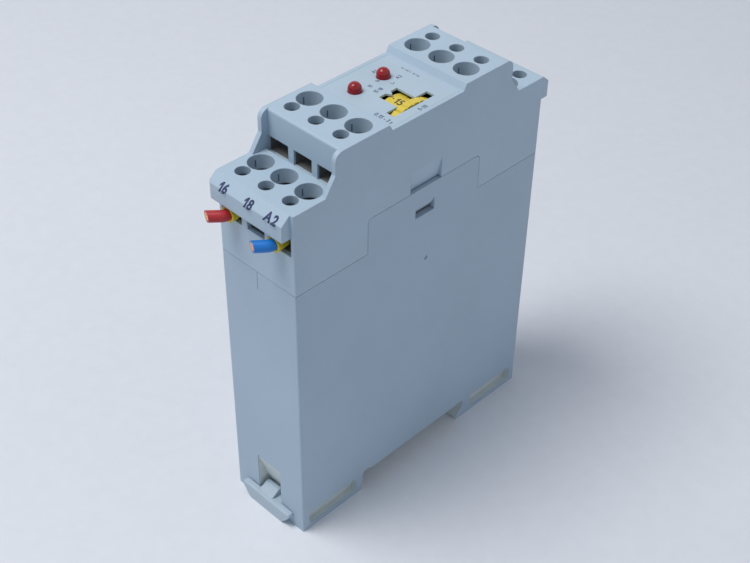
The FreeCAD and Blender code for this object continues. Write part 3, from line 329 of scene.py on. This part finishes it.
def addFlag(work, pen, width, height):
    # the short slanted stroke at the head of a one
    lap = pen + lettering["flagLap"]
    tip, tipFoot, foot = (height - drop * width for drop in lettering["flagDrops"])
    corners = [(lap, foot), (pen - width, tipFoot), (pen - width, tip), (lap, height)]
    work.faces.new([work.verts.new((x, y, 0)) for x, y in corners])


def letterMesh(text, height, weight, thickness):
    # letters as a mesh, centred on the origin, with the given height of a capital
    work = bmesh.new()
    pen = 0.0
    for character in text:
        if character == " ":
            pen += lettering["space"]
            continue
        mesh = characterMesh(character, weight)
        width = max(vertex.co.x for vertex in mesh.vertices)
        if character == "1":
            pen += width                 # room for its flag
        mesh.transform(Matrix.Translation((pen, 0, 0)))
        work.from_mesh(mesh)
        if character == "1":
            addFlag(work, pen, width, max(vertex.co.y for vertex in mesh.vertices))
        bpy.data.meshes.remove(mesh)
        pen += width + lettering["gap"]
    capital = characterMesh("H", weight)
    tall = max(vertex.co.y for vertex in capital.vertices)
    bpy.data.meshes.remove(capital)
    xs = [vertex.co.x for vertex in work.verts]
    middle = Vector(((max(xs) + min(xs)) / 2, tall / 2, 0))
    for vertex in work.verts:
        vertex.co = (vertex.co - middle) * (height / tall)
    raised = bmesh.ops.extrude_face_region(work, geom=work.faces[:])
    for item in raised["geom"]:
        if isinstance(item, bmesh.types.BMVert):
            item.co.z += thickness
    bmesh.ops.recalc_face_normals(work, faces=work.faces[:])
    mesh = bpy.data.meshes.new("letters")
    work.to_mesh(mesh)
    work.free()
    return mesh


def layOn(mesh, place, right, up):
    # lay a flat mesh on a plane given by its own right and up directions
    right = Vector(right).normalized()
    up = Vector(up).normalized()
    turn = Matrix((right, up, right.cross(up))).transposed().to_4x4()
    mesh.transform(Matrix.Translation(place) @ turn)
    return mesh


def joinMeshes(name, meshes):
    work = bmesh.new()
    for mesh in meshes:
        work.from_mesh(mesh)
    joined = bpy.data.meshes.new(name)
    work.to_mesh(joined)
    work.free()
    for mesh in meshes:
        bpy.data.meshes.remove(mesh)
    return joined


coverTree = nodeTree("top_cover")
wheelTree = nodeTree("time_wheel")
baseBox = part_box("base_housing")
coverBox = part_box("top_cover")
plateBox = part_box("front_plate")
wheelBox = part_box("time_wheel")

terminalMarks = {
    "labels": [("16", -7.05), ("18", 0.35), ("A2", 6.95)],
    "along": -0.6,           # from the middle of the slope
    "height": 2.1,           # along the slope
    "widen": 0.88,
    "weight": 0.042,
    "thickness": 0.02,
}


def makeTerminalMarks(marks):
    along = (baseBox[0].y + coverBox[0].y) / 2 + marks["along"] * mm
    meshes = []
    for text, across in marks["labels"]:
        place, normal = surfaceBelow(coverTree, across * mm, along)
        mesh = letterMesh(text, marks["height"] * mm, marks["weight"], marks["thickness"] * mm)
        mesh.transform(Matrix.Diagonal((marks["widen"], 1, 1, 1)))
        right = Vector((1, 0, 0))
        meshes.append(layOn(mesh, place, right, normal.cross(right)))
    joined = joinMeshes("terminal_marks", meshes)
    finishPiece("terminal_marks", joined, "navy ink", "root")


makeTerminalMarks(terminalMarks)

plateMarks = {
    # text, middle across and along, height of a capital, whether it reads across the deck
    "lines": [
        ("0.15 - 3 s", 6.9, -8.55, 1.10, True),
        ("15 18", -1.4, -1.8, 0.95, False),
        ("A2", -2.2, 5.0, 0.95, False),
        ("L-", -1.4, 2.4, 0.9, False),
        ("15", -3.7, -1.9, 0.9, False),
        ("A1", -7.2, 2.9, 0.95, False),
        ("16", -4.1, 0.7, 0.8, False),
        ("0-30", 9.5, -0.1, 1.0, False),
        ("24 - 240 V   50 / 60", -1.9, 8.2, 0.5, True),
    ],
    "widen": 0.85,
    "weight": 0.022,
    "thickness": 0.01,
}


def makePlateMarks(marks):
    level = plateBox[1].z
    meshes = []
    for text, across, along, height, readsAcross in marks["lines"]:
        mesh = letterMesh(text, height * mm, marks["weight"], marks["thickness"] * mm)
        mesh.transform(Matrix.Diagonal((marks["widen"], 1, 1, 1)))
        directions = ((1, 0, 0), (0, 1, 0)) if readsAcross else ((0, 1, 0), (-1, 0, 0))
        meshes.append(layOn(mesh, Vector((across * mm, along * mm, level)), *directions))
    joined = joinMeshes("plate_marks", meshes)
    finishPiece("plate_marks", joined, "grey ink", "root")


makePlateMarks(plateMarks)

drumMarks = {
    "values": ["1.5", "3", "5", "7", "10", "12", "15", "18", "20", "22", "25", "28", "30"],
    "restIndex": 6,          # the value on top at rest
    "step": 24,              # degrees between values
    "restAngle": 1,          # degrees from the top towards the near end
    "height": 1.95,
    "widen": 0.9,
    "weight": 0.02,
    "thickness": 0.02,
    "across": 4.0,
    "cut": 0.3,              # between the cuts that let a number bend
}
drumAxis = (Vector(wheelBox[0]) + Vector(wheelBox[1])) / 2


def cutAcross(mesh, step):
    # even cuts up a letter, so that it can follow a curved surface
    work = bmesh.new()
    work.from_mesh(mesh)
    cuts = int(max(vertex.co.y for vertex in work.verts) / step)
    for count in range(-cuts, cuts + 1):
        place = (0, (count + 0.1) * step, 0)     # a little off the corners of the letters
        bmesh.ops.bisect_plane(work, geom=work.verts[:] + work.edges[:] + work.faces[:],
                               plane_co=place, plane_no=(0, 1, 0))
    work.to_mesh(mesh)
    work.free()


def drumRadius(across):
    return surfaceBelow(wheelTree, across, drumAxis.y)[0].z - drumAxis.z


def makeDrumMarks(marks):
    radius = drumRadius(marks["across"] * mm)
    meshes = []
    for index, value in enumerate(marks["values"]):
        steps = index - marks["restIndex"]
        angle = math.radians(marks["restAngle"] + steps * marks["step"])
        mesh = letterMesh(value, marks["height"] * mm, marks["weight"], marks["thickness"] * mm)
        cutAcross(mesh, marks["cut"] * mm)
        for vertex in mesh.vertices:
            swing = angle - vertex.co.y / radius
            out = radius + vertex.co.z
            across = marks["across"] * mm + vertex.co.x * marks["widen"]
            vertex.co = (across, drumAxis.y - out * math.sin(swing),
                         drumAxis.z + out * math.cos(swing))
        meshes.append(mesh)
    joined = joinMeshes("drum_marks", meshes)
    finishPiece("drum_marks", joined, "black ink", "wheel")


makeDrumMarks(drumMarks)
print("numbers printed")


def newTree(name, inputs):
    # geometry tree with named inputs; gives the tree, its input node and a node maker
    tree = bpy.data.node_groups.new(name, "GeometryNodeTree")
    tree.interface.new_socket("Geometry", in_out="OUTPUT", socket_type="NodeSocketGeometry")
    for label, kind in inputs.items():
        tree.interface.new_socket(label, in_out="INPUT", socket_type="NodeSocket" + kind)
    entry = tree.nodes.new("NodeGroupInput")

    def add(kind, links=None, **settings):
        node = tree.nodes.new(kind)
        for key, setting in settings.items():
            setattr(node, key, setting)
        for socket, source in (links or {}).items():
            if hasattr(source, "is_output"):
                tree.links.new(source, node.inputs[socket])
            else:
                node.inputs[socket].default_value = source
        return node
    return tree, entry, add


def endTree(tree, entry, add, geometry):
    real = add("GeometryNodeRealizeInstances", {"Geometry": geometry})
    worn = add("GeometryNodeSetMaterial", {"Geometry": real.outputs[0],
                                           "Material": entry.outputs["Material"]})
    output = tree.nodes.new("NodeGroupOutput")
    tree.links.new(worn.outputs[0], output.inputs[0])
    return tree


def makeStrandTree():
    # strands in a sunflower pattern, standing along Z
    tree, entry, add = newTree("strand bundle", {
        "Count": "Int", "Bundle radius": "Float", "Strand radius": "Float",
        "Strand length": "Float", "Strand sides": "Int", "Material": "Material"})
    points = add("GeometryNodePoints", {"Count": entry.outputs["Count"]})
    index = add("GeometryNodeInputIndex").outputs[0]
    middle = calculate(tree, "ADD", index, 0.5)
    share = calculate(tree, "DIVIDE", middle, entry.outputs["Count"])
    root = calculate(tree, "SQRT", share)
    away = calculate(tree, "MULTIPLY", root, entry.outputs["Bundle radius"])
    goldenAngle = math.pi * (3 - math.sqrt(5))
    angle = calculate(tree, "MULTIPLY", index, goldenAngle)
    place = {}
    for axis, wave in (("X", "COSINE"), ("Y", "SINE")):
        place[axis] = calculate(tree, "MULTIPLY", calculate(tree, wave, angle), away)
    spot = add("ShaderNodeCombineXYZ", place)
    moved = add("GeometryNodeSetPosition", {"Geometry": points.outputs[0],
                                            "Position": spot.outputs[0]})
    strand = add("GeometryNodeMeshCylinder", {
        "Vertices": entry.outputs["Strand sides"], "Radius": entry.outputs["Strand radius"],
        "Depth": entry.outputs["Strand length"]})
    placed = add("GeometryNodeInstanceOnPoints", {"Points": moved.outputs[0],
                                                  "Instance": strand.outputs["Mesh"]})
    return endTree(tree, entry, add, placed.outputs[0])


def makeRingTree():
    # dots round a drum, on its surface and turned outwards
    tree, entry, add = newTree("dot ring", {
        "Count": "Int", "Ring radius": "Float", "Dot radius": "Float", "Dot height": "Float",
        "Dot sides": "Int", "Material": "Material"})
    ring = add("GeometryNodeMeshCircle", {"Vertices": entry.outputs["Count"],
                                          "Radius": entry.outputs["Ring radius"]})
    place = add("GeometryNodeInputPosition")
    turned = add("FunctionNodeAlignRotationToVector", {"Vector": place.outputs[0]}, axis="Z")
    dot = add("GeometryNodeMeshCylinder", {
        "Vertices": entry.outputs["Dot sides"], "Radius": entry.outputs["Dot radius"],
        "Depth": entry.outputs["Dot height"]})
    placed = add("GeometryNodeInstanceOnPoints", {
        "Points": ring.outputs[0], "Instance": dot.outputs["Mesh"],
        "Rotation": turned.outputs[0]})
    return endTree(tree, entry, add, placed.outputs[0])


def grow(tree, settings):
    # run a geometry tree with its inputs set, and keep the result as a plain mesh
    holder = bpy.data.objects.new(tree.name, bpy.data.meshes.new(tree.name))
    modifier = holder.modifiers.new(tree.name, "NODES")
    modifier.node_group = tree
    for item in tree.interface.items_tree:
        if item.in_out == "INPUT":
            modifier[item.identifier] = settings[item.name]
    bpy.context.scene.collection.objects.link(holder)
    bpy.context.view_layer.update()
    seen = holder.evaluated_get(bpy.context.evaluated_depsgraph_get())
    mesh = bpy.data.meshes.new_from_object(seen)
    bpy.data.objects.remove(holder)
    return mesh


wireStrands = {
    "bundle": {"Count": 37, "Bundle radius": 0.80 * mm, "Strand radius": 0.125 * mm,
               "Strand length": 2.4 * mm, "Strand sides": 10, "Material": finishes["copper"]},
    "proud": 0.10,           # past the cut insulation
    "sunk": 0.3,             # into it
}
cutFacing = -0.5             # largest Y of the normal of a cut, which faces the near end
cutUpright = 0.01            # largest Z of that normal
wallFacing = 0.95            # a face that ends at the cut and turns further from it is a wall
touching = 0.01 * mm


def cutFace(node):
    # middle and outward direction of the slanted cut at the tip of a wire
    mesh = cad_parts[node].data
    planes = {}
    for face in mesh.polygons:
        if face.normal.y < cutFacing and abs(face.normal.z) < cutUpright:
            key = tuple(round(value, 2) for value in face.normal)
            planes.setdefault(key, []).append(face)
    faces = max(planes.values(), key=lambda group: sum(face.area for face in group))
    area = sum(face.area for face in faces)
    middle = sum((face.center * face.area for face in faces), Vector()) / area
    return middle, faces[0].normal.copy()


def tipDirection(node, middle, normal):
    # way in which the wire leaves: square to the walls that end at the cut
    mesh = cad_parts[node].data
    walls = []
    for face in mesh.polygons:
        corners = [mesh.vertices[index].co for index in face.vertices]
        nearest = min(abs((corner - middle).dot(normal)) for corner in corners)
        if nearest < touching and face.normal.dot(normal) < wallFacing:
            walls.append(face.normal)
    other = max(walls, key=lambda wall: walls[0].cross(wall).length)
    out = walls[0].cross(other).normalized()
    return out if out.dot(normal) > 0 else -out


def makeStrands(strands, tree, node, name):
    middle, normal = cutFace(node)
    out = tipDirection(node, middle, normal)
    mesh = grow(tree, strands["bundle"])
    mesh.transform(Matrix.Translation(middle) @ out.to_track_quat("Z", "Y").to_matrix().to_4x4())
    work = bmesh.new()
    work.from_mesh(mesh)
    for side, reach in ((1, strands["proud"]), (-1, strands["sunk"])):
        outwards = normal * side
        cut = bmesh.ops.bisect_plane(work, geom=work.verts[:] + work.edges[:] + work.faces[:],
                                     plane_co=middle + outwards * reach * mm,
                                     plane_no=outwards, clear_outer=True)
        edges = [item for item in cut["geom_cut"] if isinstance(item, bmesh.types.BMEdge)]
        bmesh.ops.holes_fill(work, edges=edges)
    bmesh.ops.recalc_face_normals(work, faces=work.faces[:])
    work.to_mesh(mesh)
    work.free()
    finishPiece(name, mesh, "copper", "root")


strandTree = makeStrandTree()
for wire in ("left_wire", "right_wire"):
    makeStrands(wireStrands, strandTree, wire, wire + "_strands")
print("strands at the cut wires")

drumDots = {
    "across": 2.3,
    "radius": 0.2,
    "height": 0.03,          # half of it stands out of the drum
    "sides": 16,
}


def makeDrumDots(dots, marks):
    radius = drumRadius(dots["across"] * mm)
    mesh = grow(makeRingTree(), {
        "Count": round(360 / marks["step"]), "Ring radius": radius,
        "Dot radius": dots["radius"] * mm, "Dot height": dots["height"] * mm,
        "Dot sides": dots["sides"], "Material": finishes["black ink"]})
    start = math.radians(180 + marks["restAngle"])     # the ring's first dot lies at the bottom
    lay = Matrix.Translation((dots["across"] * mm, drumAxis.y, drumAxis.z))
    lay = lay @ Matrix.Rotation(start, 4, "X") @ Matrix.Rotation(math.radians(90), 4, "Y")
    mesh.transform(lay)
    finishPiece("drum_dots", mesh, "black ink", "wheel")


makeDrumDots(drumDots, drumMarks)
print("dots round the drum")

# dark strips on the walls of the screw wells are painted shadow, where a corner of the well falls
# into shade; the end slit is a dark line in the near end
wellShadowsAndSlit = {
    "turn": 164,             # degrees from +X
    "width": 0.30,
    "top": 1.2,              # below the rim of the well
    "bottom": 2.9,
    "proud": 0.015,
    "rimAcross": 3.2,        # from a well's axis to the top face beside it
    "endSlit": {             # short slit in the near end, down from the seam
        "across": -0.4,
        "width": 0.12,
        "length": 4.6,
        "proud": 0.015,
        "seamFrom": 80,      # the seam is looked for downwards from here
        "seamStep": 0.1,
        "seamTries": 400,
        "seamDepth": 0.5,    # above the seam the housing stands further in than this
    },
}
columnPitch = 7 * mm         # between the screws of a row


def addSlit(work, slit):
    tree = nodeTree("base_housing")

    def nearEnd(across, level):
        start = Vector((across, baseBox[0].y - 10 * mm, level))
        return tree.ray_cast(start, Vector((0, 1, 0)))[0]

    for step in range(slit["seamTries"]):
        seam = (slit["seamFrom"] - slit["seamStep"] * step) * mm
        place = nearEnd(slit["across"] * mm, seam)
        if place and place.y < baseBox[0].y + slit["seamDepth"] * mm:
            break
    foot = seam - slit["length"] * mm
    corners = []
    for side, level in ((-1, foot), (1, foot), (1, seam), (-1, seam)):
        place = nearEnd((slit["across"] + side * slit["width"] / 2) * mm, level)
        corners.append(work.verts.new(place - Vector((0, slit["proud"] * mm, 0))))
    work.faces.new(corners)


def wellAxes():
    # axes of the screw wells, from the screws below them
    axes = []
    for end in ("near", "far"):
        for row in ("lower", "upper"):
            screws = {}
            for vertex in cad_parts[f"{end}_{row}_screws"].data.vertices:
                screws.setdefault(round(vertex.co.x / columnPitch), []).append(vertex.co)
            for points in screws.values():
                reaches = [[point[axis] for point in points] for axis in (0, 1)]
                axes.append([(min(reach) + max(reach)) / 2 for reach in reaches])
    return axes


def addWallPatch(work, axis, radius, turns, levels):
    # a strip of a well's wall between two levels, facing its axis, which carries a painted shadow
    rings = [[work.verts.new((axis[0] + radius * math.cos(turn),
                              axis[1] + radius * math.sin(turn), level)) for turn in turns]
             for level in levels]
    for first in range(len(turns) - 1):
        work.faces.new([rings[0][first], rings[1][first], rings[1][first + 1],
                        rings[0][first + 1]])


def makeWellShadowsAndSlit(shadows):
    work = bmesh.new()
    heading = math.radians(shadows["turn"])
    outwards = Vector((math.cos(heading), math.sin(heading), 0))
    for axis in wellAxes():
        rim = surfaceBelow(coverTree, axis[0] + shadows["rimAcross"] * mm, axis[1])[0].z
        levels = (rim - shadows["bottom"] * mm, rim - shadows["top"] * mm)
        wall = coverTree.ray_cast(Vector((*axis, levels[1])), outwards)[3]
        radius = wall - shadows["proud"] * mm
        half = shadows["width"] * mm / 2 / radius
        # a painted shadow strip on the well's wall
        addWallPatch(work, axis, radius, [heading - half, heading, heading + half], levels)
    addSlit(work, shadows["endSlit"])
    mesh = bpy.data.meshes.new("well_shadows_and_slit")
    work.to_mesh(mesh)
    work.free()
    finishPiece("well_shadows_and_slit", mesh, "shadow grey", "root")


makeWellShadowsAndSlit(wellShadowsAndSlit)
print("slots in the screw wells")

stage = {
    "floorColour": (0.80, 0.82, 0.85),
    "floorLook": {"scale": 300, "detail": 2, "reach": (0.3, 0.7), "tones": (0.985, 1.01)},
    "floorRoughness": 0.7,
    "floorReach": 3.0,
    "worldStrength": 0.345,
    "worldColour": (0.75, 0.83, 1.0),
    "aim": (0, 0, 0.045),
    "lights": {
        "key": {"place": (-0.20, -0.28, 0.80), "size": 0.45, "power": 4.5},
        "fill": {"place": (0.7, 0.4, 0.6), "size": 0.8, "power": 0.5},
    },
}


def makeFloor(settings):
    low = cadBox[0][2]
    reach = settings["floorReach"]
    corners = [(-reach, -reach, low), (reach, -reach, low), (reach, reach, low),
               (-reach, reach, low)]
    mesh = bpy.data.meshes.new("floor")
    mesh.from_pydata(corners, [], [(0, 1, 2, 3)])
    floor = bpy.data.objects.new("floor", mesh)
    bpy.context.scene.collection.objects.link(floor)
    material, tree, shader = newMaterial("floor")
    tone = cloudy(tree, settings["floorLook"], settings["floorColour"])
    tree.links.new(tone, shader.inputs["Base Color"])
    shader.inputs["Roughness"].default_value = settings["floorRoughness"]
    mesh.materials.append(material)


def makeSky(settings):
    # soft sky for the light, white wherever the sky itself is seen
    world = bpy.data.worlds.new("studio")
    bpy.context.scene.world = world
    world.use_nodes = True
    tree = world.node_tree
    tree.nodes.clear()
    output = tree.nodes.new("ShaderNodeOutputWorld")
    light = tree.nodes.new("ShaderNodeBackground")
    light.inputs["Color"].default_value = (*settings["worldColour"], 1)
    light.inputs["Strength"].default_value = settings["worldStrength"]
    backdrop = tree.nodes.new("ShaderNodeBackground")
    backdrop.inputs["Color"].default_value = (1, 1, 1, 1)
    path = tree.nodes.new("ShaderNodeLightPath")
    seen = path.outputs["Is Camera Ray"]
    for ray in ("Is Glossy Ray", "Is Transmission Ray"):
        seen = calculate(tree, "MAXIMUM", seen, path.outputs[ray])
    mix = tree.nodes.new("ShaderNodeMixShader")
    tree.links.new(seen, mix.inputs[0])
    tree.links.new(light.outputs[0], mix.inputs[1])
    tree.links.new(backdrop.outputs[0], mix.inputs[2])
    tree.links.new(mix.outputs[0], output.inputs["Surface"])


def makeLights(settings):
    for name, made in settings["lights"].items():
        lamp = bpy.data.lights.new(name, "AREA")
        lamp.shape = "DISK"
        lamp.size = made["size"]
        lamp.energy = made["power"]
        holder = bpy.data.objects.new(name, lamp)
        bpy.context.scene.collection.objects.link(holder)
        holder.location = made["place"]
        aim = Vector(settings["aim"]) - Vector(made["place"])
        holder.rotation_euler = aim.to_track_quat("-Z", "Y").to_euler()


camera = {
    "target": (-0.0007, -0.0026, 0.0432),
    "distance": 0.3043,
    "azimuth": 44.37,
    "elevation": 39.31,
    "roll": 0.874,
    "lens": 64.1,            # millimetres, like the sensor's width
    "sensor": 36,
    "clip": (0.01, 20),
}


def makeCamera(view):
    azimuth = math.radians(view["azimuth"])
    elevation = math.radians(view["elevation"])
    away = Vector((math.cos(elevation) * math.sin(azimuth),
                   -math.cos(elevation) * math.cos(azimuth), math.sin(elevation)))
    lens = bpy.data.cameras.new("camera")
    lens.lens = view["lens"]
    lens.sensor_width = view["sensor"]
    lens.clip_start, lens.clip_end = view["clip"]
    holder = bpy.data.objects.new("camera", lens)
    bpy.context.scene.collection.objects.link(holder)
    turn = (-away).to_track_quat("-Z", "Y").to_matrix().to_4x4()
    roll = Matrix.Rotation(math.radians(view["roll"]), 4, "Z")
    place = Vector(view["target"]) + away * view["distance"]
    holder.matrix_world = Matrix.Translation(place) @ turn @ roll
    bpy.context.scene.camera = holder


makeFloor(stage)
makeSky(stage)
makeLights(stage)
makeCamera(camera)
bpy.context.scene.view_settings.view_transform = "Standard"
print("stage and camera set")
